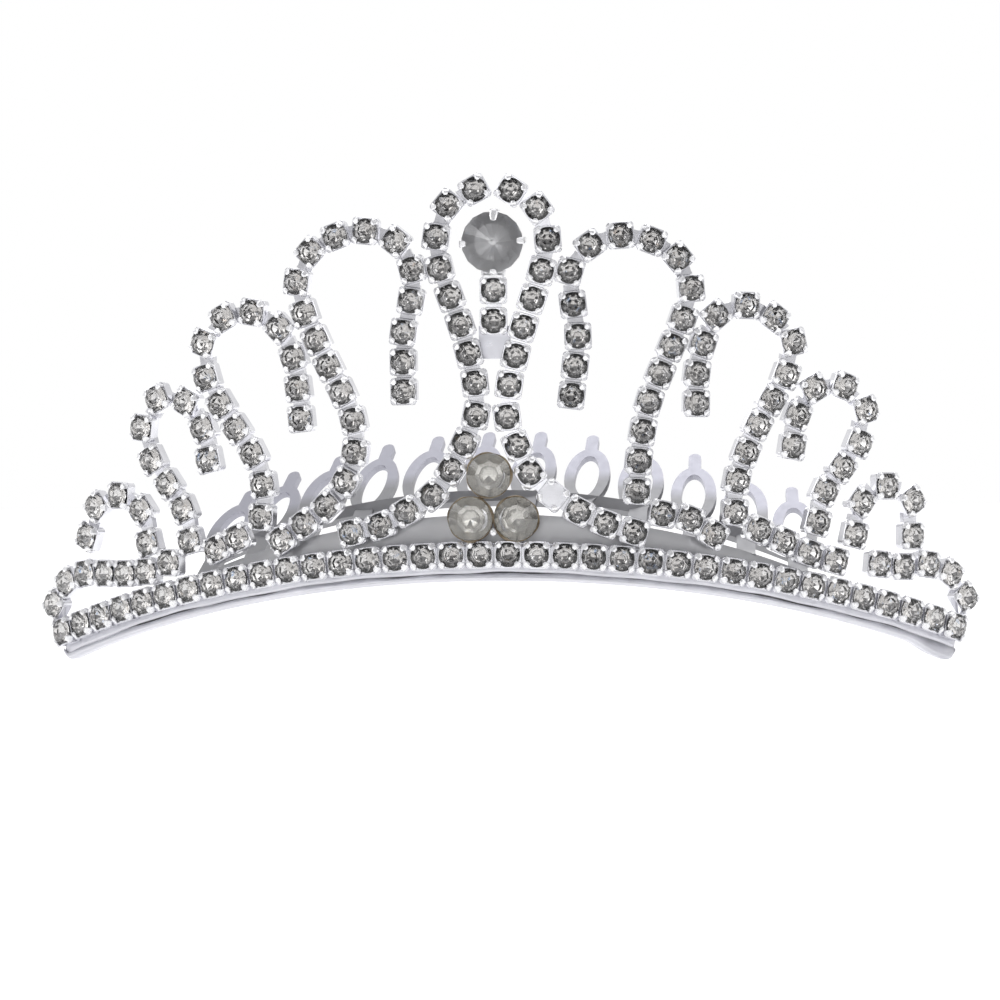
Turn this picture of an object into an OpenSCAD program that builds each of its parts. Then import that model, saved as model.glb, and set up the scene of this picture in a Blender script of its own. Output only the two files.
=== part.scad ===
// Bridal tiara: rhinestone cup chain soldered in arches on a curved base band,
// with a toothed hair comb behind it.
// Frame: X runs from the wearer's right to left, -Y faces the viewer, +Z is up.
// The origin is the middle of the comb's fold, where its teeth leave the sheet.
// A place on the face is [s, z]: arc length from the middle, and height above
// the two lower corners at the band's ends.

/* [Face] */
// Radius of the cylinder that the backs of the cups lie on
face_r = 63; // [55:1:90]

/* [Cup chain] */
// Outside width of one square cup
cup_side = 2.6; // [2.4:0.05:2.65]
// Depth of a cup, back to rim
cup_depth = 1.25; // [1:0.05:1.6]
// How much is cut off a cup's corners, measured along its side
cup_corner = 0.3; // [0.1:0.05:0.4]
// Thickness of a cup's side walls
cup_wall = 0.15; // [0.12:0.01:0.2]
// Thickness of a cup's floor
cup_floor = 0.35; // [0.3:0.05:0.5]
// Width of a corner prong
prong_w = 0.55; // [0.4:0.05:0.6]
// How far a prong stands above the rim
prong_rise = 0.45; // [0.2:0.05:0.6]
// How much wider a small stone is than the pocket that it sits on
stone_over = 0.14; // [0.08:0.02:0.2]
// Height of a small stone's girdle above the rim
girdle_up = 0.16; // [0.14:0.01:0.25]
// Height of a small stone's crown
stone_crown = 0.45; // [0.3:0.05:0.6]
// Width of the link between two cups
link_w = 0.8; // [0.5:0.1:1]
// Thickness of the link
link_t = 0.28; // [0.2:0.01:0.3]
// Play between pieces that lie against each other
play = 0.03; // [0.02:0.01:0.05]

/* [Base band] */
// Length of the band along its arc
band_arc = 103.7; // [96:0.1:110]
// Height of the band
band_h = 3.8; // [3:0.1:5]
// Thickness of the band
band_t = 1; // [0.6:0.1:1.4]
// Height of the rolled lip along the lower edge
lip_h = 0.6; // [0.4:0.1:1]
// How far the lip stands forward of the band
lip_out = 0.4; // [0.2:0.1:0.8]
// Angle by which the band drops towards the back
band_tilt = 22.8; // [15:0.1:28]
// Height of the stone row's centre line above the band's lower edge
row_up = 2.65; // [2.3:0.05:3]

/* [Comb] */
// Number of teeth
teeth = 12; // [8:1:13]
// Spacing of the teeth along the comb's arc
tooth_pitch = 5.7; // [5.4:0.05:6.2]
// Length of a tooth from the fold to its tip
tooth_len = 13.2; // [12.4:0.1:16]
// Angle at which the teeth rise towards the back
tooth_slope = 40; // [30:1:55]
// Sideways turn of all the teeth
tooth_turn = 8; // [0:0.5:12]
// How far a tooth turns back towards straight, as a share of its place's angle
tooth_fan = 0.46; // [0:0.02:0.6]
// Widest part of a tooth's ring
ring_w = 4.6; // [4:0.1:5]
// Width of the strip that the ring is made of
ring_strip = 1.1; // [0.9:0.1:1.3]
// Width of the nub at the end of a tooth
nub_w = 1.25; // [1:0.05:1.6]
// Width of the rib that carries a tooth
rib_w = 1.9; // [1.6:0.1:2.4]
// Length of the nub beyond a tooth's ring
nub_len = 2.1; // [1.6:0.1:2.6]
// Thickness of the comb's sheet
comb_t = 0.7; // [0.5:0.05:0.9]
// Distance from the fold to the cross bar under the rings
bar_up = 3.3; // [3:0.1:3.8]
// Height of the comb's cross bar
bar_h = 1.1; // [0.8:0.1:1.4]
// Height of the fold at the middle of the comb
fold_z = 14.35; // [13:0.05:15]
// Angle by which the comb's fold drops towards the back
comb_tilt = 36.9; // [30:0.1:40]
// Arc length of the comb's sheet beyond its outer teeth
comb_over = 1.6; // [1.2:0.1:2.5]

/* [Ornament] */
// Diameter of the big centre stone
centre_d = 6.5; // [5.6:0.1:6.8]
// Height of the big centre stone
centre_z = 42.3; // [41.6:0.1:42.6]
// Distance of its girdle in front of the cup backs
centre_out = 2.3; // [2:0.1:3]
// Height of the big stone's crown
centre_crown = 1.2; // [0.9:0.1:1.5]
// Width of the prongs on the big stone
centre_prong_w = 0.8; // [0.6:0.1:1.2]
// Thickness of the prongs on the big stone
centre_prong_t = 0.25; // [0.2:0.05:0.4]
// How far those prongs stand in front of the girdle
centre_prong_rise = 0.5; // [0.3:0.1:0.8]
// Gap between the stem's two cups
stem_gap = 0.5; // [0.4:0.05:0.7]
// Diameter of the three glued stones
cluster_d = 4.5; // [4:0.1:4.5]
// Distance of their girdles in front of the cup backs
cluster_out = 1.5; // [1.3:0.1:2]
// Height of their crowns
cluster_crown = 0.9; // [0.6:0.1:1.2]
// Height of the upper glued stone above the two lower ones
cluster_up = 4.4; // [4.3:0.1:4.8]
// Gap between the glued stones and the cups under them
cluster_gap = 0.05; // [0.03:0.01:0.2]
// Width of the plate behind the foot of the stem
plate_w = 3.2; // [2.8:0.1:4]
// Distance that the plate reaches below the stem's last cup
plate_down = 2.5; // [2:0.1:3.5]
// Distance that the plate reaches up behind the stem's last cup
plate_up = 0.8; // [0.6:0.1:1.2]
// Thickness of the plate
plate_t = 0.6; // [0.4:0.1:0.8]

/* [Hidden] */
$fn = 64;

big = 200;                                 // larger than the tiara, for cuts
view_r = face_r + cup_depth + 0.2;         // radius that arc lengths run on
stone_d = cup_side - 2 * cup_wall + stone_over;
band_half = band_arc / 2 / view_r * 180 / PI;
band_in_r = face_r - band_t;
end_slope = atan(sin(band_half) * tan(band_tilt));
band_foot = band_half - row_up * tan(end_slope) / face_r * 180 / PI;
band_rise = (face_r - band_in_r * cos(band_foot)) * tan(band_tilt);
comb_r = band_in_r - play - comb_t / 2;    // middle of the comb's sheet
tooth_step = tooth_pitch / comb_r * 180 / PI;
ground = [0, comb_r - face_r, -fold_z];    // band's front middle, at its ends' level
comb_half = (teeth - 1) / 2 * tooth_step + comb_over / comb_r * 180 / PI;
bar_r = comb_r - bar_up * cos(tooth_slope);

// --- The chains: [link gap, points on the face that the chain runs through]
base_gap = 0.287;
link_back = 0.05;                          // the link's back lies this far inside
centre_loop_left = [0.4, [
    [-1.7, 47.6], [-4.7, 45.8], [-5.7, 42.6], [-5.3, 39.6], [-3.1, 33.6], [-1.7, 27.5],
    [-1.8, 24.6], [-4.5, 19.0], [-6.5, 16.6], [-9.1, 15.1], [-11.9, 13.7], [-14.7, 13.1]]];
centre_loop_right = [0.4, [
    [2.0, 47.5], [4.8, 45.5], [5.7, 42.1], [4.9, 39.0], [3.0, 33.2], [1.6, 27.4],
    [1.5, 24.5], [3.8, 18.9], [6.1, 16.7], [8.9, 15.0], [11.6, 13.8], [14.3, 13.0]]];
inner_arch_left = [0.4, [
    [-9.1, 27.3], [-9.1, 33.3], [-8.3, 36.4], [-8.2, 39.7], [-10.1, 42.6], [-13.5, 43.5],
    [-17.0, 42.6], [-19.8, 40.4], [-20.3, 37.1], [-17.7, 31.2], [-14.9, 25.7], [-14.2, 22.6],
    [-14.7, 19.7], [-16.1, 17.1], [-18.2, 15.1], [-22.3, 12.4]]];
inner_arch_right = [0.4, [
    [8.0, 26.8], [8.7, 33.1], [8.2, 36.0], [7.8, 39.0], [9.8, 41.8], [13.2, 42.9],
    [16.6, 42.2], [19.3, 40.2], [20.3, 37.1], [18.1, 31.3], [15.8, 25.9], [14.8, 20.1],
    [14.6, 17.1]]];
middle_arch_left = [0.4, [
    [-20.1, 24.6], [-20.9, 30.9], [-22.8, 34.1], [-25.9, 35.4], [-29.5, 34.4], [-31.4, 31.6],
    [-30.7, 28.4], [-26.9, 22.9], [-25.0, 20.2], [-24.3, 17.4], [-24.6, 14.7]]];
middle_arch_right = [0.4, [
    [20.8, 25.9], [20.9, 29.1], [21.6, 32.1], [23.2, 35.0], [26.5, 35.7], [29.5, 34.2],
    [31.4, 31.4], [30.2, 28.3], [27.0, 23.1], [24.9, 17.6], [24.8, 14.9]]];
outer_arch_left = [0.4, [
    [-30.7, 20.5], [-31.4, 23.7], [-33.7, 26.5], [-37.1, 26.6], [-39.0, 23.6], [-37.6, 20.2],
    [-35.4, 17.7], [-33.6, 15.1], [-33.0, 12.3]]];
outer_arch_right = [0.4, [
    [31.1, 21.5], [31.7, 24.7], [33.7, 27.4], [37.2, 27.4], [39.5, 24.9], [38.6, 21.6],
    [36.4, 19.0], [34.5, 16.6], [33.8, 13.8]]];
swag_left = [0.4, [[-27.3, 12.6], [-29.8, 11.5]]];
swag_right = [0.3, [[17.2, 14.8], [19.9, 14.3], [22.5, 12.7]]];
low_swag_right = [0.4, [[27.3, 13.1], [30.1, 11.9], [32.9, 10.7], [35.8, 9.9]]];
end_hook_left = [0.4, [
    [-46.7, 12.7], [-45.5, 15.6], [-42.3, 16.9], [-39.0, 15.2], [-38.3, 12.1]]];
end_link_left = [0.4, [[-35.6, 10.1]]];
end_curl_left = [0.4, [
    [-38.5, 9.2], [-41.2, 9.0], [-44.1, 9.0], [-47.0, 9.0], [-49.9, 8.1], [-51.9, 5.8]]];
end_loop_right = [0.4, [
    [38.1, 12.5], [38.8, 15.7], [42.2, 17.4], [45.2, 15.6], [45.0, 12.3]]];
end_curl_right = [0.4, [[40.9, 9.5], [43.9, 9.2], [47.0, 9.4], [50.0, 8.4], [52.0, 6.0]]];
stem_s = 0.15;
stem_top = centre_z - centre_d / 2 - centre_prong_t - 2 * play - cup_side / 2;
stem_low = stem_top - cup_side - stem_gap;
stem = [stem_gap, [[stem_s, stem_top], [stem_s, stem_low]]];
cluster_x = cluster_d / 2 + cluster_gap;
bend_room = cup_side / 4;                  // extra room for a cup, for each radian of bend

// --- Curves
// Point at t (0 to 1) on the smooth curve between b and c
function curve(a, b, c, d, t) = 0.5 * (2 * b + (c - a) * t
    + (2 * a - 5 * b + 4 * c - d) * t * t + (3 * b - a - 3 * c + d) * t * t * t);
function end_before(p) = 2 * p[0] - p[1];
function end_after(p) = 2 * p[len(p) - 1] - p[len(p) - 2];
function padded(p) = concat([end_before(p)], p, [end_after(p)]);
function smooth(p, steps = 12) = let (q = padded(p)) concat(
    [for (i = [1 : len(p) - 1], j = [0 : steps - 1])
        curve(q[i - 1], q[i], q[i + 1], q[i + 2], j / steps)],
    [p[len(p) - 1]]);
// Bend at point i of a row of points, in radians
function bend_at(p, i) = i < 1 || i > len(p) - 2 ? 0 : let (
    a = p[i] - p[i - 1], b = p[i + 1] - p[i]) abs(atan2(cross(a, b), a * b)) * PI / 180;
// Distances along a row of points, counted short in bends: square cups need more room there
function runs(p) = [for (i = 0, d = 0; i < len(p);
    d = d + (i + 1 < len(p) ? norm(p[i + 1] - p[i]) - bend_room * bend_at(p, i) : 0),
    i = i + 1) d];
// Point at distance d along the points p, whose runs are r
function point_at(p, r, d) = let (
    i = max([for (k = [0 : len(r) - 2]) r[k] <= d ? k : 0]),
    t = (d - r[i]) / (r[i + 1] - r[i])) p[i] + t * (p[i + 1] - p[i]);
// Evenly spaced places for the cups of a chain
function evenly(p, gap) = let (r = runs(p), all = r[len(r) - 1],
    n = max(1, round(all / (cup_side + gap))))
    [for (k = [0 : n]) point_at(p, r, all * k / n * (1 - 1e-9))];
function places(chain) = len(chain[1]) == 1 ? chain[1] : evenly(smooth(chain[1]), chain[0]);
// Direction of the chain at place k, in degrees up from the arc
function heading(p, k) = let (
    a = p[max(k - 1, 0)], b = p[min(k + 1, len(p) - 1)]) atan2(b[1] - a[1], b[0] - a[0]);

// --- The band's lower edge and the row of cups on it
function angle_of(s) = s / view_r * 180 / PI;
function band_z(angle) = band_rise - face_r * (1 - cos(angle)) * tan(band_tilt);
row_n = floor((band_arc - cup_side) / (cup_side + base_gap)) + 1;
base_row = [for (k = [0 : row_n - 1])
    let (s = (k - (row_n - 1) / 2) * (cup_side + base_gap)) [s, band_z(angle_of(s)) + row_up]];

// --- Placing
// Puts its children on the face at [s, z], turned by turn degrees in the face
module on_face(place, turn = 0) {
    translate(ground + [0, face_r, 0]) rotate([0, 0, angle_of(place[0])])
        translate([0, -face_r - play, place[1]]) rotate([0, -turn, 0]) children();
}

// Half space above the plane that drops backwards from height z at the band's front
module above(z, tilt) {
    translate(ground + [0, 0, z]) rotate([-tilt, 0, 0]) translate([-big / 2, -big / 2, 0])
        cube([big, big, big / 2]);
}

// Curved wall round the axis of the face, half an arc to each side of the middle
module arc_wall(r_in, r_out, half) {
    translate(ground + [0, face_r, -big / 4]) rotate([0, 0, -90 - half])
        rotate_extrude(angle = 2 * half)
        translate([r_in, 0]) square([r_out - r_in, big / 2]);
}

// Part of a curved wall between two planes that drop backwards
module arc_strip(r_in, r_out, half, z_low, z_high, tilt_low, tilt_high) {
    difference() {
        intersection() {
            arc_wall(r_in, r_out, half);
            above(z_low, tilt_low);
        }
        above(z_high, tilt_high);
    }
}

// --- One cup, its link and its stone
module cup() {
    pocket = cup_side - 2 * cup_wall;
    notch = cup_side - 2 * prong_w;
    top = cup_depth + prong_rise;
    across = (cup_side - cup_corner) * sqrt(2);
    difference() {
        intersection() {
            translate([-cup_side / 2, -top, -cup_side / 2]) cube([cup_side, top, cup_side]);
            rotate([0, 45, 0]) translate([-across / 2, -top - 1, -across / 2])
                cube([across, top + 2, across]);
        }
        rotate([90, 0, 0]) translate([0, 0, cup_floor]) cylinder(d = pocket, h = top);
        rotate([90, 0, 0]) translate([0, 0, cup_depth]) cylinder(d = stone_d + 2 * play, h = top);
        translate([-cup_side, -top - 1, -notch / 2])
            cube([2 * cup_side, prong_rise + 1, notch]);
        translate([-notch / 2, -top - 1, -cup_side])
            cube([notch, prong_rise + 1, 2 * cup_side]);
    }
}

// Link that reaches from the middle of one cup to the wall of the next
module link(length) {
    translate([0, -link_t, -link_w / 2]) cube([length, link_t - link_back, link_w]);
}

// Step from cup k to the next one, measured at the cups' backs
function step_back(p, k) = let (step = p[k + 1] - p[k]) [step[0] * face_r / view_r, step[1]];

// Length of the link that stops just short of the next cup
function link_length(p, k) = let (
    step = step_back(p, k), way = atan2(step[1], step[0]),
    lean = abs(way - heading(p, k + 1)),
    bend = min(lean, 360 - lean))
    norm(step) - cup_side / 2 / cos(bend) - link_w / 2 * tan(bend) - play;

module cups(p) {
    color("silver") for (k = [0 : len(p) - 1]) union() {
        on_face(p[k], heading(p, k)) cup();
        if (k < len(p) - 1) {
            step = step_back(p, k);
            on_face(p[k], atan2(step[1], step[0])) link(link_length(p, k));
        }
    }
}

// Brilliant of radius r round -Y: girdle at out, crown and pavilion heights
module brilliant(r, out, crown, pavilion) {
    girdle = r * 0.06;
    translate([0, -out, 0]) rotate([90, 0, 0]) rotate_extrude()
        polygon([[0, -pavilion], [r, -girdle], [r, girdle], [r * 0.58, crown], [0, crown]]);
}

module cup_stone() {
    girdle_out = cup_depth + girdle_up;
    brilliant(stone_d / 2, girdle_out, stone_crown, girdle_out - cup_floor - play);
}

module stones(p) {
    color("white") for (k = [0 : len(p) - 1]) on_face(p[k], heading(p, k)) cup_stone();
}

// --- The parts
// Everything beyond the band's end, whose cut is square to the sloping edge
module beyond_end(side) {
    mirror([side > 0 ? 0 : 1, 0, 0]) translate(ground + [0, face_r, 0])
        rotate([0, 0, band_half])
        translate([0, -face_r, band_z(band_half) + row_up]) rotate([0, end_slope, 0])
        translate([0, -big / 4, -big / 4]) cube([big / 2, big / 2, big / 2]);
}

module base_band() {
    color("silver") difference() {
        union() {
            arc_strip(band_in_r, face_r, band_half + 2, band_rise, band_rise + band_h,
                band_tilt, band_tilt);
            arc_strip(face_r - band_t / 2, face_r + lip_out, band_half + 2, band_rise,
                band_rise + lip_h, band_tilt, band_tilt);
        }
        beyond_end(1);
        beyond_end(-1);
    }
}

// Ellipse as a list of points, centred at [0, along]
function oval(rx, ry, along, n = 36) =
    [for (i = [0 : n - 1]) [rx * cos(360 * i / n), along + ry * sin(360 * i / n)]];

// One tooth in the plane of the sheet: rib, open ring and nub
module tooth_outline() {
    ring_end = tooth_len - nub_len;
    join = ring_strip / 2;
    ring_mid = (bar_up - ring_strip / 2 + ring_end) / 2;
    ring_half = ring_end - ring_mid;
    difference() {
        union() {
            polygon(oval(ring_w / 2, ring_half, ring_mid));
            translate([-rib_w / 2, 0]) square([rib_w, bar_up]);
            translate([-nub_w / 2, ring_end - join])
                square([nub_w, tooth_len - nub_w / 2 - ring_end + join]);
            translate([0, tooth_len - nub_w / 2]) circle(d = nub_w);
        }
        polygon(oval(ring_w / 2 - ring_strip, ring_half - ring_strip, ring_mid));
    }
}

module tooth(angle) {
    drop = comb_r * (1 - cos(angle)) * tan(comb_tilt);
    translate(ground + [0, face_r, 0]) rotate([0, 0, angle])
        translate([0, -comb_r, fold_z - drop]) rotate([0, 0, -tooth_turn - tooth_fan * angle])
        rotate([tooth_slope, 0, 0]) translate([0, 0, -comb_t / 2])
        linear_extrude(comb_t) tooth_outline();
}

module comb() {
    bar_z = fold_z + bar_up * sin(tooth_slope);
    bar_y = face_r - bar_r;
    bar_tilt = atan(tan(comb_tilt) * comb_r / bar_r);
    fold_y = face_r - comb_r;
    color("gainsboro") {
        arc_strip(comb_r - comb_t / 2, comb_r + comb_t / 2, comb_half,
            band_rise + 0.9, fold_z + fold_y * tan(comb_tilt) + 0.25, band_tilt, comb_tilt);
        arc_strip(bar_r - comb_t / 2, bar_r + comb_t / 2, comb_half,
            bar_z + bar_y * tan(bar_tilt) - bar_h / 2, bar_z + bar_y * tan(bar_tilt) + bar_h / 2,
            bar_tilt, bar_tilt);
        for (i = [0 : teeth - 1]) tooth((i - (teeth - 1) / 2) * tooth_step);
    }
}

module base_row_cups() cups(base_row);
module base_row_stones() stones(base_row);
module centre_loop_left_cups() cups(places(centre_loop_left));
module centre_loop_left_stones() stones(places(centre_loop_left));
module centre_loop_right_cups() cups(places(centre_loop_right));
// The cup that has lost its stone is the fourth from this chain's inner end
module centre_loop_right_stones() {
    p = places(centre_loop_right);
    empty = len(p) - 4;
    color("white") for (k = [0 : len(p) - 1]) if (k != empty)
        on_face(p[k], heading(p, k)) cup_stone();
}
module inner_arch_left_cups() cups(places(inner_arch_left));
module inner_arch_left_stones() stones(places(inner_arch_left));
module inner_arch_right_cups() cups(places(inner_arch_right));
module inner_arch_right_stones() stones(places(inner_arch_right));
module middle_arch_left_cups() cups(places(middle_arch_left));
module middle_arch_left_stones() stones(places(middle_arch_left));
module middle_arch_right_cups() cups(places(middle_arch_right));
module middle_arch_right_stones() stones(places(middle_arch_right));
module outer_arch_left_cups() cups(places(outer_arch_left));
module outer_arch_left_stones() stones(places(outer_arch_left));
module outer_arch_right_cups() cups(places(outer_arch_right));
module outer_arch_right_stones() stones(places(outer_arch_right));
module swag_left_cups() cups(places(swag_left));
module swag_left_stones() stones(places(swag_left));
module swag_right_cups() cups(places(swag_right));
module swag_right_stones() stones(places(swag_right));
module low_swag_right_cups() cups(places(low_swag_right));
module low_swag_right_stones() stones(places(low_swag_right));
module end_hook_left_cups() cups(places(end_hook_left));
module end_hook_left_stones() stones(places(end_hook_left));
module end_link_left_cups() cups(places(end_link_left));
module end_link_left_stones() stones(places(end_link_left));
module end_curl_left_cups() cups(places(end_curl_left));
module end_curl_left_stones() stones(places(end_curl_left));
module end_loop_right_cups() cups(places(end_loop_right));
module end_loop_right_stones() stones(places(end_loop_right));
module end_curl_right_cups() cups(places(end_curl_right));
module end_curl_right_stones() stones(places(end_curl_right));
module stem_cups() cups(places(stem));
module stem_stones() stones(places(stem));

// Flat plate behind the place where the stem meets the loop's two legs
module stem_plate() {
    low_z = stem_low - cup_side / 2 - plate_down;
    color("gainsboro") translate(ground + [stem_s - plate_w / 2, play, low_z])
        cube([plate_w, plate_t, plate_down + plate_up]);
}

// Four-prong basket that holds the big stone, with the neck down to the stem
module centre_setting() {
    arm = centre_d / 2 + play;
    bowl_h = centre_out - 0.5;
    bowl_wall = 0.3;
    bowl_r = centre_d * 0.38;
    neck_z = stem_top + cup_side / 2 + play - centre_z;
    color("silver") on_face([stem_s, centre_z]) {
        difference() {
            rotate([90, 0, 0]) cylinder(r = bowl_r, h = bowl_h);
            rotate([90, 0, 0]) translate([0, 0, cup_floor])
                cylinder(r1 = bowl_wall, r2 = bowl_r - bowl_wall, h = bowl_h);
        }
        for (a = [0 : 90 : 270]) rotate([0, a, 0]) {
            translate([0, -cup_floor, -centre_prong_w / 2])
                cube([arm + centre_prong_t / 2, cup_floor, centre_prong_w]);
            translate([arm, -centre_out - centre_prong_rise, -centre_prong_w / 2])
                cube([centre_prong_t, centre_out + centre_prong_rise, centre_prong_w]);
        }
        translate([-centre_prong_w, -2 * cup_floor, neck_z])
            cube([2 * centre_prong_w, 2 * cup_floor, -neck_z - bowl_r / 2]);
    }
}

module centre_stone() {
    color("white") on_face([stem_s, centre_z])
        brilliant(centre_d / 2, centre_out, centre_crown, centre_out - cup_floor - 3 * play);
}

cluster_low_z = band_rise + row_up + cup_side / 2 + cluster_gap + cluster_d / 2;
cluster = [
    [-0.4, cluster_low_z + cluster_up], [-cluster_x, cluster_low_z], [cluster_x, cluster_low_z]];

module cluster_seats() {
    seat_r = cluster_d * 0.44;
    seat_h = cluster_out * 2 / 3;
    color("silver") for (p = cluster) on_face(p) rotate([90, 0, 0]) difference() {
        cylinder(r = seat_r, h = seat_h);
        translate([0, 0, cup_floor])
            cylinder(r1 = cup_wall, r2 = seat_r - cup_wall / 2, h = seat_h);
    }
}

module cluster_stones() {
    color("white") for (p = cluster) on_face(p)
        brilliant(cluster_d / 2, cluster_out, cluster_crown, cluster_out - cup_floor - 3 * play);
}

base_band();
comb();
base_row_cups();
base_row_stones();
centre_loop_left_cups();
centre_loop_left_stones();
centre_loop_right_cups();
centre_loop_right_stones();
inner_arch_left_cups();
inner_arch_left_stones();
inner_arch_right_cups();
inner_arch_right_stones();
middle_arch_left_cups();
middle_arch_left_stones();
middle_arch_right_cups();
middle_arch_right_stones();
outer_arch_left_cups();
outer_arch_left_stones();
outer_arch_right_cups();
outer_arch_right_stones();
swag_left_cups();
swag_left_stones();
swag_right_cups();
swag_right_stones();
low_swag_right_cups();
low_swag_right_stones();
end_hook_left_cups();
end_hook_left_stones();
end_link_left_cups();
end_link_left_stones();
end_curl_left_cups();
end_curl_left_stones();
end_loop_right_cups();
end_loop_right_stones();
end_curl_right_cups();
end_curl_right_stones();
stem_cups();
stem_stones();
stem_plate();
centre_setting();
centre_stone();
cluster_seats();
cluster_stones();
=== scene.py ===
"""Looks of the bridal tiara: faceted crystals in pronged cups, plated band and comb."""
import math

import bmesh
import bpy
from mathutils import Matrix, Vector


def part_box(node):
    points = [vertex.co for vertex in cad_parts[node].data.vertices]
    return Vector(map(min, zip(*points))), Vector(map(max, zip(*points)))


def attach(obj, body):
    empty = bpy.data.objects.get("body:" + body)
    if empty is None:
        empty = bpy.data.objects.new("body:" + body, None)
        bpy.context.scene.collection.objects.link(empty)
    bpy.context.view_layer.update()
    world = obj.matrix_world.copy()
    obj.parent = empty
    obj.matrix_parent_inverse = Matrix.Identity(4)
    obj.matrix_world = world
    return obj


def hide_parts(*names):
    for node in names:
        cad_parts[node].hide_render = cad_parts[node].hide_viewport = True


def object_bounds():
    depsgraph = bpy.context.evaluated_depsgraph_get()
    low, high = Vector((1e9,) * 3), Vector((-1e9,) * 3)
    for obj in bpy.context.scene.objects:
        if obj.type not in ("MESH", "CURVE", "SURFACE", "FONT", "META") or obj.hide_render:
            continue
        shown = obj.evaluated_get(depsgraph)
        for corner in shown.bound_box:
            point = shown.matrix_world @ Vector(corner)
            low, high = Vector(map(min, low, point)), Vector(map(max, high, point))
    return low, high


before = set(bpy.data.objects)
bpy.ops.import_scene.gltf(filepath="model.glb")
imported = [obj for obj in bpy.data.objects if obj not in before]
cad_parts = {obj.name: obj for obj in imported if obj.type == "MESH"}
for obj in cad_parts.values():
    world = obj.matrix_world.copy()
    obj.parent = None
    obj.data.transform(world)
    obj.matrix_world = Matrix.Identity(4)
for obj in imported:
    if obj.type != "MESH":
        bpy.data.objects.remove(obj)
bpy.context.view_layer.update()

MM = 0.001
AXIS = Vector((0, 61.62 * MM, 0))          # axis of the curved face that the cups lie on
FACE_R = 63 * MM                           # radius of that face
FACE_Y = AXIS.y - FACE_R                   # the face at the middle of the tiara
PLAY = 0.03 * MM                           # between the face and what lies on it
CAD_HALF = 1.3 * MM                        # half the side of a solid cup
CUP_SIDE = 2.72 * MM                       # side of a dressed cup
SEAT_R = 1.27 * MM                         # round seat inside the square rim
CUP_RIM = 1.25 * MM                        # back of a cup to its rim
STONE_R = 1.26 * MM                        # girdle of a chain's stone
GIRDLE_OUT = 1.41 * MM                     # back of a cup to the stone's girdle
CENTRE_OUT = 2.3 * MM                      # face to the centre stone's girdle
CLUSTER_OUT = 1.5 * MM                     # face to the girdle of the glued stones
TURN = 6.28                                # a full turn, for turning stones at random


# ---------------------------------------------------------------- materials
def material(name):
    m = bpy.data.materials.new(name)
    m.use_nodes = True
    nt = m.node_tree
    return m, nt, nt.nodes["Principled BSDF"]


def node(nt, kind, **values):
    n = nt.nodes.new(kind)
    for k, v in values.items():
        if hasattr(n, k):
            setattr(n, k, v)
        else:
            n.inputs[k.replace("_", " ")].default_value = v
    return n


def ramp(nt, source, stops):
    r = nt.nodes.new("ShaderNodeValToRGB")
    while len(r.color_ramp.elements) < len(stops):
        r.color_ramp.elements.new(0.5)
    for e, (at, colour) in zip(r.color_ramp.elements, stops):
        e.position = at
        e.color = (*colour, 1)
    nt.links.new(source, r.inputs["Fac"])
    return r


def mottle(nt, p, at, cloud, scale, low, high, strength, depth):
    """Uneven roughness between low and high, and relief from the cloud noise."""
    fine = node(nt, "ShaderNodeTexNoise", Scale=scale, Detail=3.0)
    nt.links.new(at.outputs["Object"], fine.inputs["Vector"])
    shine = node(nt, "ShaderNodeMapRange", To_Min=low, To_Max=high)
    nt.links.new(fine.outputs["Fac"], shine.inputs["Value"])
    nt.links.new(shine.outputs["Result"], p.inputs["Roughness"])
    relief = node(nt, "ShaderNodeBump", Strength=strength, Distance=depth)
    nt.links.new(cloud.outputs["Fac"], relief.inputs["Height"])
    nt.links.new(relief.outputs["Normal"], p.inputs["Normal"])


def plating(name, light, dark, rough, scale=260.0, bump=0.02, metal=1.0):
    """Bright plating: slightly cloudy colour and roughness, a trace of polish lines."""
    m, nt, p = material(name)
    p.inputs["Metallic"].default_value = metal
    at = nt.nodes.new("ShaderNodeTexCoord")
    cloud = node(nt, "ShaderNodeTexNoise", Scale=scale, Detail=4.0, Roughness=0.55)
    nt.links.new(at.outputs["Object"], cloud.inputs["Vector"])
    tint = ramp(nt, cloud.outputs["Fac"], [(0.30, dark), (0.62, light)])
    nt.links.new(tint.outputs["Color"], p.inputs["Base Color"])
    mottle(nt, p, at, cloud, scale * 6, rough * 0.6, rough * 1.5, bump * 5, bump * MM)
    return m


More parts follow.
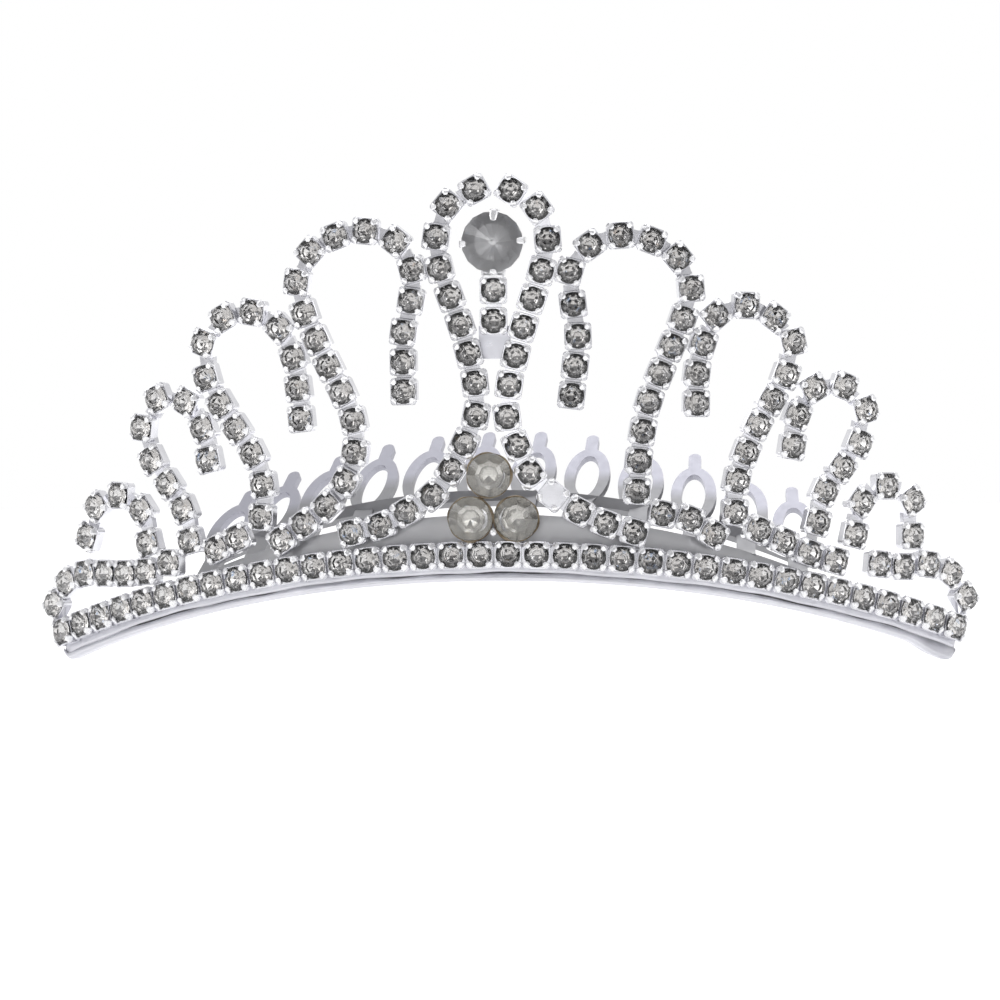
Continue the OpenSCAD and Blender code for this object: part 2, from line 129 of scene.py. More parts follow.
def comb_plating():
    """Satin plating with painted shade: the sheet grey and the lower ring halves darker, pale
    lavender beyond.
    """
    m, nt, p = material("comb_plating")
    p.inputs["Metallic"].default_value = 0.85
    at = nt.nodes.new("ShaderNodeTexCoord")
    split = nt.nodes.new("ShaderNodeSeparateXYZ")
    nt.links.new(at.outputs["Object"], split.inputs[0])
    slope = node(nt, "ShaderNodeMath", operation="MULTIPLY_ADD")
    slope.inputs[1].default_value = 0.751      # drop of the comb's fold towards the back
    nt.links.new(split.outputs["Y"], slope.inputs[0])
    nt.links.new(split.outputs["Z"], slope.inputs[2])
    cloud = node(nt, "ShaderNodeTexNoise", Scale=160.0, Detail=4.0, Roughness=0.5)
    nt.links.new(at.outputs["Object"], cloud.inputs["Vector"])
    along = node(nt, "ShaderNodeMath", operation="MULTIPLY_ADD")
    along.inputs[1].default_value = 0.0012
    nt.links.new(cloud.outputs["Fac"], along.inputs[0])
    nt.links.new(slope.outputs[0], along.inputs[2])
    reach = node(nt, "ShaderNodeMapRange")
    reach.inputs["From Min"].default_value = -0.002
    reach.inputs["From Max"].default_value = 0.018
    nt.links.new(along.outputs[0], reach.inputs["Value"])
    # painted shade along the teeth: grey near the fold, darkest over the lower ring halves, then
    # the pale lavender plating
    tint = ramp(nt, reach.outputs["Result"],
                [(0.0, (0.46, 0.46, 0.47)), (0.10, (0.48, 0.48, 0.49)), (0.18, (0.28, 0.28, 0.29)),
                 (0.50, (0.27, 0.27, 0.28)), (0.60, (0.40, 0.40, 0.45)),
                 (1.0, (0.42, 0.42, 0.47))])
    nt.links.new(tint.outputs["Color"], p.inputs["Base Color"])
    mottle(nt, p, at, cloud, 1400.0, 0.30, 0.48, 0.15, 0.03 * MM)
    return m


def resin():
    """Aged amber glue."""
    m, nt, p = material("glue_resin")
    at = nt.nodes.new("ShaderNodeTexCoord")
    cloud = node(nt, "ShaderNodeTexNoise", Scale=700.0, Detail=3.0)
    nt.links.new(at.outputs["Object"], cloud.inputs["Vector"])
    tint = ramp(nt, cloud.outputs["Fac"], [(0.35, (0.10, 0.06, 0.025)), (0.6, (0.38, 0.30, 0.19))])
    nt.links.new(tint.outputs["Color"], p.inputs["Base Color"])
    p.inputs["Roughness"].default_value = 0.18
    p.inputs["Transmission Weight"].default_value = 0.35
    return m


def crystal(name, tint, rough=0.0):
    """Clear crystal."""
    m, nt, p = material(name)
    p.inputs["Base Color"].default_value = (*tint, 1)
    p.inputs["Transmission Weight"].default_value = 1.0
    p.inputs["IOR"].default_value = 1.56
    p.inputs["Roughness"].default_value = rough
    return m


def foil(name, tint, cool, warm, rough):
    """Foil under a crystal, with painted fire: blue and amber patches in its colour for flashes of
    split light.
    """
    m, nt, p = material(name)
    p.inputs["Metallic"].default_value = 1.0
    p.inputs["Roughness"].default_value = rough
    at = nt.nodes.new("ShaderNodeTexCoord")
    fire = node(nt, "ShaderNodeTexNoise", Scale=1300.0, Detail=2.0)
    nt.links.new(at.outputs["Object"], fire.inputs["Vector"])
    c = ramp(nt, fire.outputs["Fac"],
             [(0.10, warm), (0.30, tint), (0.66, tint), (0.80, cool)])
    nt.links.new(c.outputs["Color"], p.inputs["Base Color"])
    return m


CUP = plating("cup_plating", (0.80, 0.80, 0.83), (0.62, 0.62, 0.65), 0.20)
# painted highlight: a whiter, less metallic copy of the plating stands in for the white glints on
# prongs and claws; the centre basket and the solder bead wear it too
PAINTED_HIGHLIGHT_PLATING = plating("prong_plating_painted_highlight", (0.93, 0.93, 0.94), (0.84, 0.84, 0.86), 0.26, metal=0.6)
BAND = plating("band_plating", (0.76, 0.76, 0.80), (0.70, 0.70, 0.74), 0.40, 120.0, 0.02, 0.7)
CREASE = plating("crease_shadow", (0.16, 0.16, 0.17), (0.08, 0.08, 0.08), 0.5)
PLATE = plating("plate_plating", (0.66, 0.66, 0.70), (0.56, 0.56, 0.60), 0.30, 140.0, 0.03)
COMB = comb_plating()
CRYSTAL = crystal("crystal", (0.97, 0.97, 0.97))
FOIL = foil("crystal_foil", (0.66, 0.65, 0.64), (0.30, 0.46, 0.74), (0.78, 0.54, 0.36), 0.11)
BIG = crystal("centre_crystal", (0.95, 0.95, 0.95))
BIG_FOIL = foil("centre_foil", (0.56, 0.56, 0.57), (0.50, 0.54, 0.64), (0.60, 0.56, 0.50), 0.32)
GLUED = crystal("glued_crystal", (0.94, 0.94, 0.92), 0.05)
GLUED_FOIL = foil("glued_foil", (0.50, 0.49, 0.47), (0.40, 0.42, 0.46), (0.50, 0.42, 0.32), 0.20)
GLUE = resin()


# ---------------------------------------------------------------- meshes
def make(name, bm, *materials, smooth=False):
    """New object from bm; smooth=None leaves the faces as they are."""
    me = bpy.data.meshes.new(name)
    bm.to_mesh(me)
    bm.free()
    for m in materials:
        me.materials.append(m)
    if smooth is not None:
        for p in me.polygons:
            p.use_smooth = smooth
    ob = bpy.data.objects.new(name, me)
    bpy.context.scene.collection.objects.link(ob)
    return ob


def dress(ob, slot, *nodes):
    """Fix the piece to the body and hide the nodes it stands for; the slot for its finish is not
    used.
    """
    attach(ob, "root")
    if nodes:
        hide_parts(*nodes)
    return ob


def islands(name):
    """The loose parts of a CAD node, each as a list of points."""
    bm = bmesh.new()
    bm.from_mesh(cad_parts[name].data)
    bmesh.ops.remove_doubles(bm, verts=bm.verts, dist=0.001 * MM)
    left, parts = set(bm.verts), []
    while left:
        stack, part = [left.pop()], []
        while stack:
            v = stack.pop()
            part.append(v.co.copy())
            for e in v.link_edges:
                o = e.other_vert(v)
                if o in left:
                    left.remove(o)
                    stack.append(o)
        parts.append(part)
    bm.free()
    return sorted(parts, key=lambda p: (round(min(v.x for v in p), 6), min(v.z for v in p)))


def outward(at):
    """Level direction away from the face's axis."""
    flat = Vector((at.x - AXIS.x, at.y - AXIS.y, 0))
    return flat.normalized()


def seat(points):
    """Matrix of the cup that these points belong to, and its link's far end.

    Local axes: X along the chain, Y towards the back, Z across; the origin is on the back.
    """
    centre = sum(points, Vector()) / len(points)
    for _ in range(4):
        out = outward(centre)
        side = Vector((-out.y, out.x, 0))
        up = Vector((0, 0, 1))
        high = max(p.dot(out) for p in points)
        top = [p - centre for p in points if p.dot(out) > high - 0.06 * MM]
        far = [(p.dot(side), p.dot(up)) for p in top]
        lo = [min(p[i] for p in far) for i in range(2)]
        hi = [max(p[i] for p in far) for i in range(2)]
        centre = (centre + side * (lo[0] + hi[0]) / 2 + up * (lo[1] + hi[1]) / 2)
    fourth = sum((complex(*p) * 1000) ** 4 for p in far)
    turn = (math.atan2(fourth.imag, fourth.real) - math.pi) / 4
    turn = (turn + math.pi / 4) % (math.pi / 2) - math.pi / 4
    x = side * math.cos(turn) + up * math.sin(turn)
    z = -side * math.sin(turn) + up * math.cos(turn)
    back = min(p.dot(out) for p in points)
    origin = centre - out * (centre.dot(out) - back)
    m = Matrix((x, -out, z)).transposed().to_4x4()
    m.translation = origin
    inv = m.inverted()
    end = [q for q in (inv @ p for p in points)
           if max(abs(q.x), abs(q.z)) > CAD_HALF + 0.03 * MM]
    return m, sum(end, Vector()) / len(end) if end else None


def square(half, y, r, steps=4):
    """Square with rounded corners of radius r at depth y."""
    ring = []
    for k in range(4):
        a = math.pi / 4 + k * math.pi / 2
        cx = (half - r) * (1 if math.cos(a) > 0 else -1)
        cz = (half - r) * (1 if math.sin(a) > 0 else -1)
        for i in range(steps + 1):
            b = k * math.pi / 2 + i * math.pi / 2 / steps
            ring.append((cx + r * math.cos(b), y, cz + r * math.sin(b)))
    return ring


def loft(bm, rings, close_first=False, close_last=False, slot=0):
    """Skin through rings of equal length."""
    rows = [[bm.verts.new(p) for p in r] for r in rings]
    n = len(rows[0])
    faces = []
    for a, b in zip(rows, rows[1:]):
        for i in range(n):
            j = (i + 1) % n
            faces.append(bm.faces.new((a[i], a[j], b[j], b[i])))
    if close_first:
        faces.append(bm.faces.new(list(reversed(rows[0]))))
    if close_last:
        faces.append(bm.faces.new(rows[-1]))
    for f in faces:
        f.material_index = slot


def cup_mesh():
    """One stamped cup (slot 0) with four prongs folded over the stone's edge (slot 1)."""
    bm = bmesh.new()
    h, w = CUP_SIDE / 2, 0.13 * MM
    rings = [square(h - 0.14 * MM, 0, 0.42 * MM),
             square(h - 0.03 * MM, -0.12 * MM, 0.45 * MM),
             square(h, -CUP_RIM * 0.6, 0.42 * MM),
             square(h + 0.02 * MM, -CUP_RIM + 0.05 * MM, 0.40 * MM),
             square(h - 0.02 * MM, -CUP_RIM, 0.38 * MM),
             square(h - w + 0.02 * MM, -CUP_RIM, 0.34 * MM),
             square(h - w, -CUP_RIM + 0.06 * MM, 0.32 * MM),
             square(SEAT_R, -CUP_RIM + 0.04 * MM, SEAT_R * 0.97),
             square(SEAT_R - 0.02 * MM, -0.45 * MM, SEAT_R * 0.95)]
    loft(bm, rings, True, True)
    for k in range(4):
        a = math.pi / 4 + k * math.pi / 2
        cx, cz = math.cos(a), math.sin(a)
        # a prong stands in its corner, then bends over the stone's edge
        sections = [  # distance out from the middle, depth, half width, half thickness, lean
            (1.55, -0.90, 0.36, 0.10, 0.0), (1.57, -1.22, 0.36, 0.10, 0.0),
            (1.52, -1.43, 0.35, 0.10, 0.4), (1.40, -1.57, 0.32, 0.09, 0.85),
            (1.24, -1.64, 0.27, 0.07, 1.3), (1.06, -1.63, 0.15, 0.04, 1.6)]
        rows = []
        for r, y, hw, ht, lean in sections:
            nr, ny = math.cos(lean), -math.sin(lean)
            row = []
            for sx, st in ((-1, -1), (1, -1), (1, 0.6), (0.6, 1), (-0.6, 1), (-1, 0.6)):
                rr, yy = r + nr * ht * st, y + ny * ht * st
                row.append(((rr * cx - hw * sx * cz) * MM, yy * MM,
                            (rr * cz + hw * sx * cx) * MM))
            rows.append(row)
        loft(bm, rows, True, True, 1)
    bmesh.ops.recalc_face_normals(bm, faces=bm.faces)
    return bm


def link_points(bm, m, tip):
    """Flat tab on the back that joins a cup to the next one."""
    d = Vector((tip.x, 0, tip.z))
    length = d.length + 0.25 * MM
    d.normalize()
    s = Vector((-d.z, 0, d.x))
    rows = []
    for along, hw in ((0.9 * MM, 0.86 * MM), (1.25 * MM, 0.82 * MM),
                      (length - 0.30 * MM, 0.78 * MM), (length, 0.82 * MM)):
        y0, y1 = -0.05 * MM, -0.70 * MM
        rows.append([m @ (d * along + s * hw + Vector((0, y0, 0))),
                     m @ (d * along + s * hw + Vector((0, y1, 0))),
                     m @ (d * along - s * hw + Vector((0, y1, 0))),
                     m @ (d * along - s * hw + Vector((0, y0, 0)))])
    loft(bm, rows, True, True)


def brilliant(bm, m, radius, table, crown, deep, sides=8):
    """Faceted stone: glass crown (slot 0) over a foiled pavilion (slot 1).

    The origin is in the girdle's plane, and Y points to the back.
    """

    def ring(r, y, count, shift=0.0):
        return [bm.verts.new(m @ Vector((r * math.cos((i + shift) * 2 * math.pi / count), y,
                                         r * math.sin((i + shift) * 2 * math.pi / count))))
                for i in range(count)]
    g = 0.05 * radius                      # half the girdle's thickness
    top = ring(table * radius, -crown, sides)
    mid = ring((table + 1.0) / 2 * radius * 0.985, -g - (crown - g) * 0.52, sides, 0.5)
    upper = ring(radius, -g, 2 * sides)
    lower = ring(radius, g, 2 * sides)
    belt = ring(radius * 0.52, g + (deep - g) * 0.46, sides)
    n = 2 * sides
    bm.faces.new(top)
    for i in range(sides):
        j = (i + 1) % sides
        h = (i - 1) % sides
        bm.faces.new((top[i], mid[i], top[j]))
        bm.faces.new((top[i], mid[h], upper[2 * i], mid[i]))
        bm.faces.new((mid[i], upper[2 * i], upper[2 * i + 1]))
        bm.faces.new((mid[i], upper[2 * i + 1], upper[(2 * i + 2) % n]))
    for i in range(n):
        j = (i + 1) % n
        bm.faces.new((upper[i], lower[i], lower[j], upper[j]))
    culet = bm.verts.new(m @ Vector((0, deep, 0)))
    back = []
    for i in range(sides):
        j = (i + 1) % sides
        a, b, c = lower[2 * i], lower[2 * i + 1], lower[(2 * i + 2) % n]
        back.append(bm.faces.new((a, belt[i], b)))
        back.append(bm.faces.new((b, belt[i], belt[j])))
        back.append(bm.faces.new((b, belt[j], c)))
        back.append(bm.faces.new((belt[i], culet, belt[j])))
    for f in back:
        f.material_index = 1


def scatter(i, salt):
    """Repeatable number in 0..1 for piece i."""
    v = math.sin(i * 12.9898 + salt * 78.233) * 43758.5453
    return v - math.floor(v)


def jitter(i, tilt):
    """Repeatable turn and slight tilt for stone i."""
    a = scatter(i, 1) * TURN
    tx, tz = (scatter(i, 2) - 0.5) * tilt, (scatter(i, 3) - 0.5) * tilt
    return (Matrix.Rotation(tx, 4, "X") @ Matrix.Rotation(tz, 4, "Z")
            @ Matrix.Rotation(a, 4, "Y"))


def dress_chains():
    """Cups with prongs and links, and crystals, for each chain of the frame."""
    pattern = cup_mesh()
    pattern.verts.ensure_lookup_table()
    pattern_co = [v.co.copy() for v in pattern.verts]
    pattern_faces = [([v.index for v in f.verts], f.material_index) for f in pattern.faces]
    pattern.free()

    number = 0
    for chain in sorted(n[:-5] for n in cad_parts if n.endswith("_cups")):
        seats = [seat(p) for p in islands(chain + "_cups")]
        stones = [sum(p, Vector()) / len(p) for p in islands(chain + "_stones")]
        cups_bm, stones_bm = bmesh.new(), bmesh.new()
        for m, tip in seats:
            number += 1
            vs = [cups_bm.verts.new(m @ c) for c in pattern_co]
            for f, slot in pattern_faces:
                cups_bm.faces.new([vs[i] for i in f]).material_index = slot
            if tip is not None:
                link_points(cups_bm, m, tip)
            middle = m @ Vector((0, -GIRDLE_OUT, 0))
            if min((middle - s).length for s in stones) > 0.9 * MM:
                continue                       # an empty cup
            place = m @ Matrix.Translation((0, -GIRDLE_OUT, 0)) @ jitter(number, 0.10)
            brilliant(stones_bm, place, STONE_R, 0.52, 0.44 * MM, 0.92 * MM)
        bmesh.ops.recalc_face_normals(cups_bm, faces=cups_bm.faces)
        bmesh.ops.recalc_face_normals(stones_bm, faces=stones_bm.faces)
        dress(make(chain + "_cup_chain", cups_bm, CUP, PAINTED_HIGHLIGHT_PLATING), "cup_plating", chain + "_cups")
        dress(make(chain + "_crystals", stones_bm, CRYSTAL, FOIL), "crystal", chain + "_stones")


dress_chains()
for n, m in (("comb", COMB), ("stem_plate", PLATE), ("cluster_seats", CUP)):
    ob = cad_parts[n]
    ob.data.materials.clear()
    ob.data.materials.append(m)


# the base band: a rolled bead below, a pressed crease above it, rounded ends
BAND_H = 3.8 * MM
BAND_HALF = 51.85 / 64.45                  # half its arc over the radius of the stones
BAND_TILT = math.radians(22.8)
ROW_UP = 2.65                              # height of the base row on it, in millimetres
BAND_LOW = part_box("base_band")[1].z - BAND_H        # the lower edge at the middle


def wave(x, *terms):
    """Sum of sines, each an amplitude, a rate and a shift."""
    return sum(a * math.sin(x * k + p) for a, k, p in terms)


def band_row(at):
    """Section of the band at arc position at (-1 to 1): points and their slots."""
    s = at * BAND_HALF * FACE_R / MM                 # millimetres from the middle
    end = (1 - abs(at)) * BAND_HALF * FACE_R / MM
    slope = math.sin(at * BAND_HALF) * math.tan(BAND_TILT)
    # the lower corner of each end is an arc of 0.8 mm
    lift = 0.8 - math.sqrt(max(0.0, 0.8 ** 2 - max(0.0, 0.8 - end) ** 2))
    if at > 0:                                       # the right end is flared downwards
        g = max(0.0, min(1.0, (s - 44.5) / 4.0))
        lift -= 0.55 * g * g * (3 - 2 * g)
    spread = wave(s, (0.55, 0.19, 1.9), (0.45, 0.47, 0.6), (0.3, 1.3, 2.0))
    open_ = max(0.0, min(1.0, 0.25 + spread))
    crease = 0.02 + 0.15 * open_
    level = 0.78 + wave(s, (0.06, 0.31, 0.4), (0.04, 0.9, 1.1))
    dent = wave(s, (0.018, 0.8, 0.0), (0.012, 2.1, 1.0), (0.008, 4.7, 0.5))
    top = BAND_H / MM - lift * 0.3
    # millimetres outwards and upwards, from the back round the rolled bead and the crease
    profile = [(-1.0, 0.20 + lift), (-0.85, 0.03 + lift), (0.10, 0.0 + lift), (0.28, 0.08 + lift),
               (0.39, 0.24 + lift), (0.38, 0.42 + lift), (0.26, 0.56 + lift),
               (0.10, level - crease / 2), (0.01, level - crease / 2 + 0.01),
               (0.0, level + crease / 2), (0.07 + dent, level + crease / 2 + 0.03),
               (0.05 + dent, level + 0.35), (dent - 0.01, 1.6), (0.0, 2.6), (0.0, top - 0.12),
               (-0.12, top), (-0.88, top), (-1.0, top - 0.14)]
    points = []
    for out, up in profile:
        up = min(up, top)
        turn = at * BAND_HALF + slope * (up - ROW_UP) * MM / FACE_R
        r = FACE_R + out * MM
        y = AXIS.y - r * math.cos(turn)
        drop = (FACE_R - FACE_R * math.cos(at * BAND_HALF)) * math.tan(BAND_TILT)
        points.append(Vector((r * math.sin(turn), y, BAND_LOW + up * MM - drop)))
    return points


def build_band():
    """The band, with a strip of painted shadow in its crease."""
    bm = bmesh.new()
    steps = 420
    rows = [[bm.verts.new(p) for p in band_row(-1 + 2 * i / steps)] for i in range(steps + 1)]
    n = len(rows[0])
    for p, q in zip(rows, rows[1:]):
        for i in range(n):
            j = (i + 1) % n
            face = bm.faces.new((p[i], p[j], q[j], q[i]))
            face.material_index = 1 if i in (7, 8) else 0      # the crease
            face.smooth = True
    bm.faces.new(rows[0])
    bm.faces.new(list(reversed(rows[-1])))
    bmesh.ops.recalc_face_normals(bm, faces=bm.faces)
    dress(make("band", bm, BAND, CREASE, smooth=None), "band_plating", "base_band")


build_band()


# the big centre stone: pointed front of narrow wedges, foiled back
def rivoli(bm, m, radius, crown, deep, sides):
    """Pointed stone: glass front (slot 0) and foiled back (slot 1)."""
    def ring(r, y, shift=0.0):
        return [bm.verts.new(m @ Vector((r * math.cos((i + shift) * 2 * math.pi / sides), y,
                                         r * math.sin((i + shift) * 2 * math.pi / sides))))
                for i in range(sides)]
    tip = bm.verts.new(m @ Vector((0.02 * radius, -crown, 0.03 * radius)))
    mid = ring(0.92 * radius, -crown * 0.24, 0.5)
    upper = ring(radius, -0.06 * radius)
    lower = ring(radius, 0.06 * radius)
    belt = ring(0.55 * radius, deep * 0.55, 0.5)
    end = bm.verts.new(m @ Vector((0, deep, 0)))
    for i in range(sides):
        j = (i + 1) % sides
        bm.faces.new((tip, mid[i], mid[j]))
        bm.faces.new((mid[i], upper[j], mid[j]))
        bm.faces.new((mid[i], upper[i], upper[j]))
        bm.faces.new((upper[i], lower[i], lower[j], upper[j]))
        for f in (bm.faces.new((lower[i], belt[i], lower[j])),
                  bm.faces.new((belt[i], belt[j], lower[j])),
                  bm.faces.new((belt[i], end, belt[j]))):
            f.material_index = 1


lo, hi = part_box("centre_stone")
mid = (lo + hi) / 2
big_r = (hi.z - lo.z) / 2 * 0.96           # a little in from the solid, inside the claws
big_at = Matrix.Translation((mid.x, FACE_Y - PLAY - CENTRE_OUT, mid.z))


def build_centre_stone():
    """The centre stone, turned a little."""
    bm = bmesh.new()
    rivoli(bm, big_at @ Matrix.Rotation(0.12, 4, "Y"), big_r, 1.15 * MM, 1.8 * MM, 16)
    bmesh.ops.recalc_face_normals(bm, faces=bm.faces)
    dress(make("centre_crystal", bm, BIG, BIG_FOIL), "centre_crystal", "centre_stone")


build_centre_stone()


# its setting: a shallow bowl, four claws folded over the girdle and a neck to the stem
def claw(bm, m, turn, width, reach):
    """One claw at an angle, from the bowl over the girdle, in millimetres."""
    c, s = math.cos(turn), math.sin(turn)
    r = big_r / MM
    rows = []
    sections = [  # distance out, depth, half width, lean
        (r + 0.10, 1.9, width * 0.55, 0.0), (r + 0.14, 0.5, width * 0.5, 0.0),
        (r + 0.14, -0.18, width * 0.5, 0.2), (r + 0.02, -0.42, width * 0.5, 0.9),
        (r - reach * 0.5, -0.62, width * 0.46, 1.25),
        (r - reach * 0.9, -0.80, width * 0.34, 1.25), (r - reach, -0.84, width * 0.16, 1.25)]
    for d, y, hw, lean in sections:
        row = []
        for sx, st in ((-1, -1), (1, -1), (1, 0.4), (0.6, 1), (-0.6, 1), (-1, 0.4)):
            dd = d + math.cos(lean) * 0.09 * st
            yy = y - math.sin(lean) * 0.09 * st
            row.append(m @ Vector(((dd * c - hw * sx * s) * MM, yy * MM,
                                   (dd * s + hw * sx * c) * MM)))
        rows.append(row)
    loft(bm, rows, True, True)


def build_basket():
    """Bowl, claws and neck of the centre stone."""
    bm = bmesh.new()
    for turn, width, reach in ((1.50, 0.84, 0.95), (0.05, 0.70, 0.60), (3.20, 0.70, 0.50),
                               (4.75, 0.70, 0.40)):
        claw(bm, big_at, turn, width, reach)
    rows = []
    bowl = [  # radius and depth, outside then inside
        (0.5, 2.28), (1.9, 2.28), (2.55, 1.9), (2.95, 1.1), (3.05, 0.55),
        (2.85, 0.55), (2.72, 1.05), (2.30, 1.75), (1.5, 2.05), (0.4, 2.08)]
    for r, y in bowl:
        rows.append([big_at @ Vector((r * MM * math.cos(i * math.pi / 24), y * MM,
                                      r * MM * math.sin(i * math.pi / 24))) for i in range(48)])
    loft(bm, rows, True, True)
    stem_top = (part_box("stem_cups")[1].z - mid.z) / MM
    rows = []
    neck = [  # height, half width, front, back
        (-2.2, 1.25, 1.3, 2.2), (-3.0, 1.20, 0.75, 2.2), (-3.35, 1.15, 0.55, 2.2),
        (-3.62, 1.05, 0.75, 2.2), (stem_top + 0.04, 0.95, 0.95, 2.2)]
    for z, hw, y0, y1 in neck:
        rows.append([big_at @ Vector((x * MM, y * MM, z * MM)) for x, y in
                     ((-hw, y1), (-hw, y0 + 0.15), (-hw + 0.2, y0), (hw - 0.2, y0),
                      (hw, y0 + 0.15), (hw, y1))])
    loft(bm, rows, True, True)
    bmesh.ops.recalc_face_normals(bm, faces=bm.faces)
    dress(make("centre_basket", bm, PAINTED_HIGHLIGHT_PLATING), "cup_plating", "centre_setting")


build_basket()


def build_cluster():
    """Glued stones, the glue round their edges and the solder bead."""
    bm = bmesh.new()
    glue = bmesh.new()
    heights = []
    for i, part in enumerate(islands("cluster_stones")):
        low = Vector([min(p[k] for p in part) for k in range(3)])
        high = Vector([max(p[k] for p in part) for k in range(3)])
        c = (low + high) / 2
        out = outward(c)
        side = Vector((-out.y, out.x, 0))
        m = Matrix((side, -out, Vector((0, 0, 1)))).transposed().to_4x4()
        r = (high.z - low.z) / 2
        m.translation = Vector((c.x, 0, c.z)) - Vector((0, 1, 0)) * (PLAY + CLUSTER_OUT - FACE_Y)
        heights.append(m.translation.z)
        brilliant(bm, m @ jitter(i + 5, 0.30), r, 0.46, 0.88 * MM, 1.0 * MM)
        rows = []
        for k in range(64):
            a = k * math.pi / 32
            fat = 0.13 + 0.06 * math.sin(a * 3 + i) + 0.04 * math.sin(a * 7 + 2 * i)
            rr = r + 0.01 * MM
            rows.append([m @ Vector(((rr + fat * MM * math.cos(b) * 0.8) * math.cos(a),
                                     0.16 * MM + fat * MM * 1.5 * math.sin(b),
                                     (rr + fat * MM * math.cos(b) * 0.8) * math.sin(a)))
                         for b in (j * math.pi / 4 for j in range(8))])
        rows.append(rows[0])
        loft(glue, rows)
    bmesh.ops.recalc_face_normals(bm, faces=bm.faces)
    dress(make("glued_crystals", bm, GLUED, GLUED_FOIL), "glued_crystal", "cluster_stones")
    bmesh.ops.remove_doubles(glue, verts=glue.verts, dist=0.0005 * MM)
    bmesh.ops.recalc_face_normals(glue, faces=glue.faces)
    dress(make("glue", glue, GLUE, smooth=True), "glued_crystal")
    bm = bmesh.new()
    low_z = min(heights)
    bmesh.ops.create_icosphere(bm, subdivisions=3, radius=0.42 * MM)
    for v in bm.verts:
        d = v.co.normalized()
        v.co += d * 0.035 * MM * math.sin(d.x * 19) * math.sin(d.z * 17 + 1) * math.sin(d.y * 15)
    bmesh.ops.translate(bm, verts=bm.verts, vec=(0, FACE_Y - 1.35 * MM, low_z - 1.35 * MM))
    dress(make("solder_bead", bm, PAINTED_HIGHLIGHT_PLATING, smooth=True), "cup_plating")


build_cluster()


# ---------------------------------------------------------------- studio
def lamp(name, at, aim, size, radiance):
    """Softbox: a square area light given by how bright its face is."""
    d = bpy.data.lights.new(name, "AREA")
    d.shape = "RECTANGLE"
    d.size, d.size_y = size
    d.energy = radiance * math.pi * size[0] * size[1]
    ob = bpy.data.objects.new(name, d)
    ob.location = at
    ob.rotation_euler = (Vector(aim) - Vector(at)).to_track_quat("-Z", "Y").to_euler()
    bpy.context.scene.collection.objects.link(ob)


def build_table():
    """White table just under the tiara, pale to the camera and in reflections."""
    bm = bmesh.new()
    bmesh.ops.create_grid(bm, x_segments=8, y_segments=8, size=1.5)
    floor_mat, nt, p = material("white_table")
    p.inputs["Base Color"].default_value = (0.93, 0.93, 0.93, 1)
    p.inputs["Roughness"].default_value = 0.5
    p.inputs["Specular IOR Level"].default_value = 0.1
    path = nt.nodes.new("ShaderNodeLightPath")
    seen = node(nt, "ShaderNodeMath", operation="MAXIMUM")
    nt.links.new(path.outputs["Is Camera Ray"], seen.inputs[0])
    nt.links.new(path.outputs["Is Glossy Ray"], seen.inputs[1])
    glow = node(nt, "ShaderNodeMath", operation="MULTIPLY")
    glow.inputs[1].default_value = 0.45
    nt.links.new(seen.outputs[0], glow.inputs[0])
    p.inputs["Emission Color"].default_value = (1, 1, 1, 1)
    nt.links.new(glow.outputs[0], p.inputs["Emission Strength"])
    table = make("table", bm, floor_mat)
    table.location = (0, 0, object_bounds()[0].z - 0.2 * MM)


build_table()
lamp("softbox_left", (-0.42, -0.42, 0.34), (0, 0, 0.02), (0.34, 0.34), 2.4)
lamp("softbox_right", (0.46, -0.34, 0.30), (0, 0, 0.02), (0.30, 0.30), 2.0)
lamp("softbox_top", (0.05, 0.05, 0.62), (0, 0, 0.0), (0.50, 0.30), 1.8)
lamp("strip_front", (0.0, -0.62, 0.10), (0, 0, 0.01), (0.10, 0.30), 1.5)
lamp("softbox_back", (-0.15, 0.55, 0.30), (0, 0, 0.02), (0.40, 0.25), 1.6)


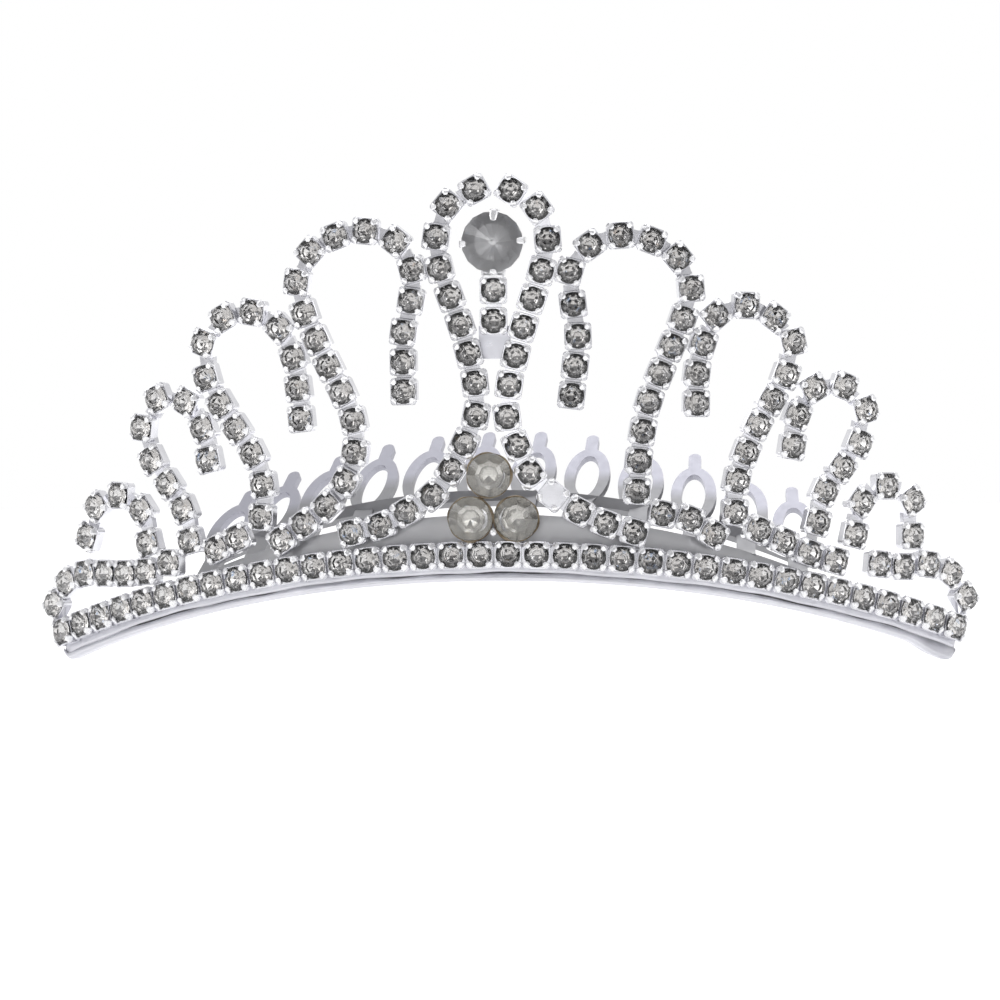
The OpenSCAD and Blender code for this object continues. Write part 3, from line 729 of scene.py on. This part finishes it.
def build_world():
    """White behind the tiara; elsewhere a room that is darker towards the front."""
    world = bpy.data.worlds.new("studio")
    bpy.context.scene.world = world
    world.use_nodes = True
    nt = world.node_tree
    nt.nodes.clear()
    out = nt.nodes.new("ShaderNodeOutputWorld")
    mix = nt.nodes.new("ShaderNodeMixShader")
    white = node(nt, "ShaderNodeBackground", Color=(1, 1, 1, 1), Strength=1.0)
    room = node(nt, "ShaderNodeBackground", Strength=1.0)
    path = nt.nodes.new("ShaderNodeLightPath")
    at = nt.nodes.new("ShaderNodeTexCoord")
    split = nt.nodes.new("ShaderNodeSeparateXYZ")
    nt.links.new(at.outputs["Generated"], split.inputs[0])
    shade = ramp(nt, split.outputs["Y"], [(0.0, (0.26, 0.26, 0.27)), (0.25, (0.36, 0.36, 0.37)),
                                          (0.5, (0.75, 0.75, 0.77)), (0.8, (0.95, 0.95, 0.95))])
    turn = node(nt, "ShaderNodeMapRange")
    turn.inputs["From Min"].default_value = -1
    nt.links.new(split.outputs["Y"], turn.inputs["Value"])
    nt.links.new(turn.outputs["Result"], shade.inputs["Fac"])
    nt.links.new(shade.outputs["Color"], room.inputs["Color"])
    nt.links.new(path.outputs["Is Camera Ray"], mix.inputs["Fac"])
    nt.links.new(room.outputs[0], mix.inputs[1])
    nt.links.new(white.outputs[0], mix.inputs[2])
    nt.links.new(mix.outputs[0], out.inputs["Surface"])


build_world()


# ---------------------------------------------------------------- camera
AZIMUTH, ELEVATION, ROLL = math.radians(4.5), math.radians(0.6), math.radians(-0.4)
DISTANCE = 3.5                             # far off, as the photographed view is nearly flat
WIDTH = 0.1007                             # what the picture takes in at the tiara
PICTURE = Vector((0.58 * MM, FACE_Y, 1.96 * MM))       # its centre: across, depth, up
back = Vector((math.sin(AZIMUTH) * math.cos(ELEVATION),
               -math.cos(AZIMUTH) * math.cos(ELEVATION), math.sin(ELEVATION)))
across = Vector((math.cos(AZIMUTH), math.sin(AZIMUTH), 0))
aim = Vector((0, PICTURE.y, PICTURE.z)) + across * PICTURE.x
cam_data = bpy.data.cameras.new("camera")
cam = bpy.data.objects.new("camera", cam_data)
bpy.context.scene.collection.objects.link(cam)
cam_data.sensor_width = 36
cam_data.lens = cam_data.sensor_width * DISTANCE / WIDTH
cam_data.clip_start, cam_data.clip_end = 0.5, 10
cam.location = aim + back * DISTANCE
turn = (-back).to_track_quat("-Z", "Y").to_matrix().to_4x4() @ Matrix.Rotation(ROLL, 4, "Z")
cam.rotation_euler = turn.to_euler()
bpy.context.scene.camera = cam
bpy.context.scene.view_settings.view_transform = "Standard"
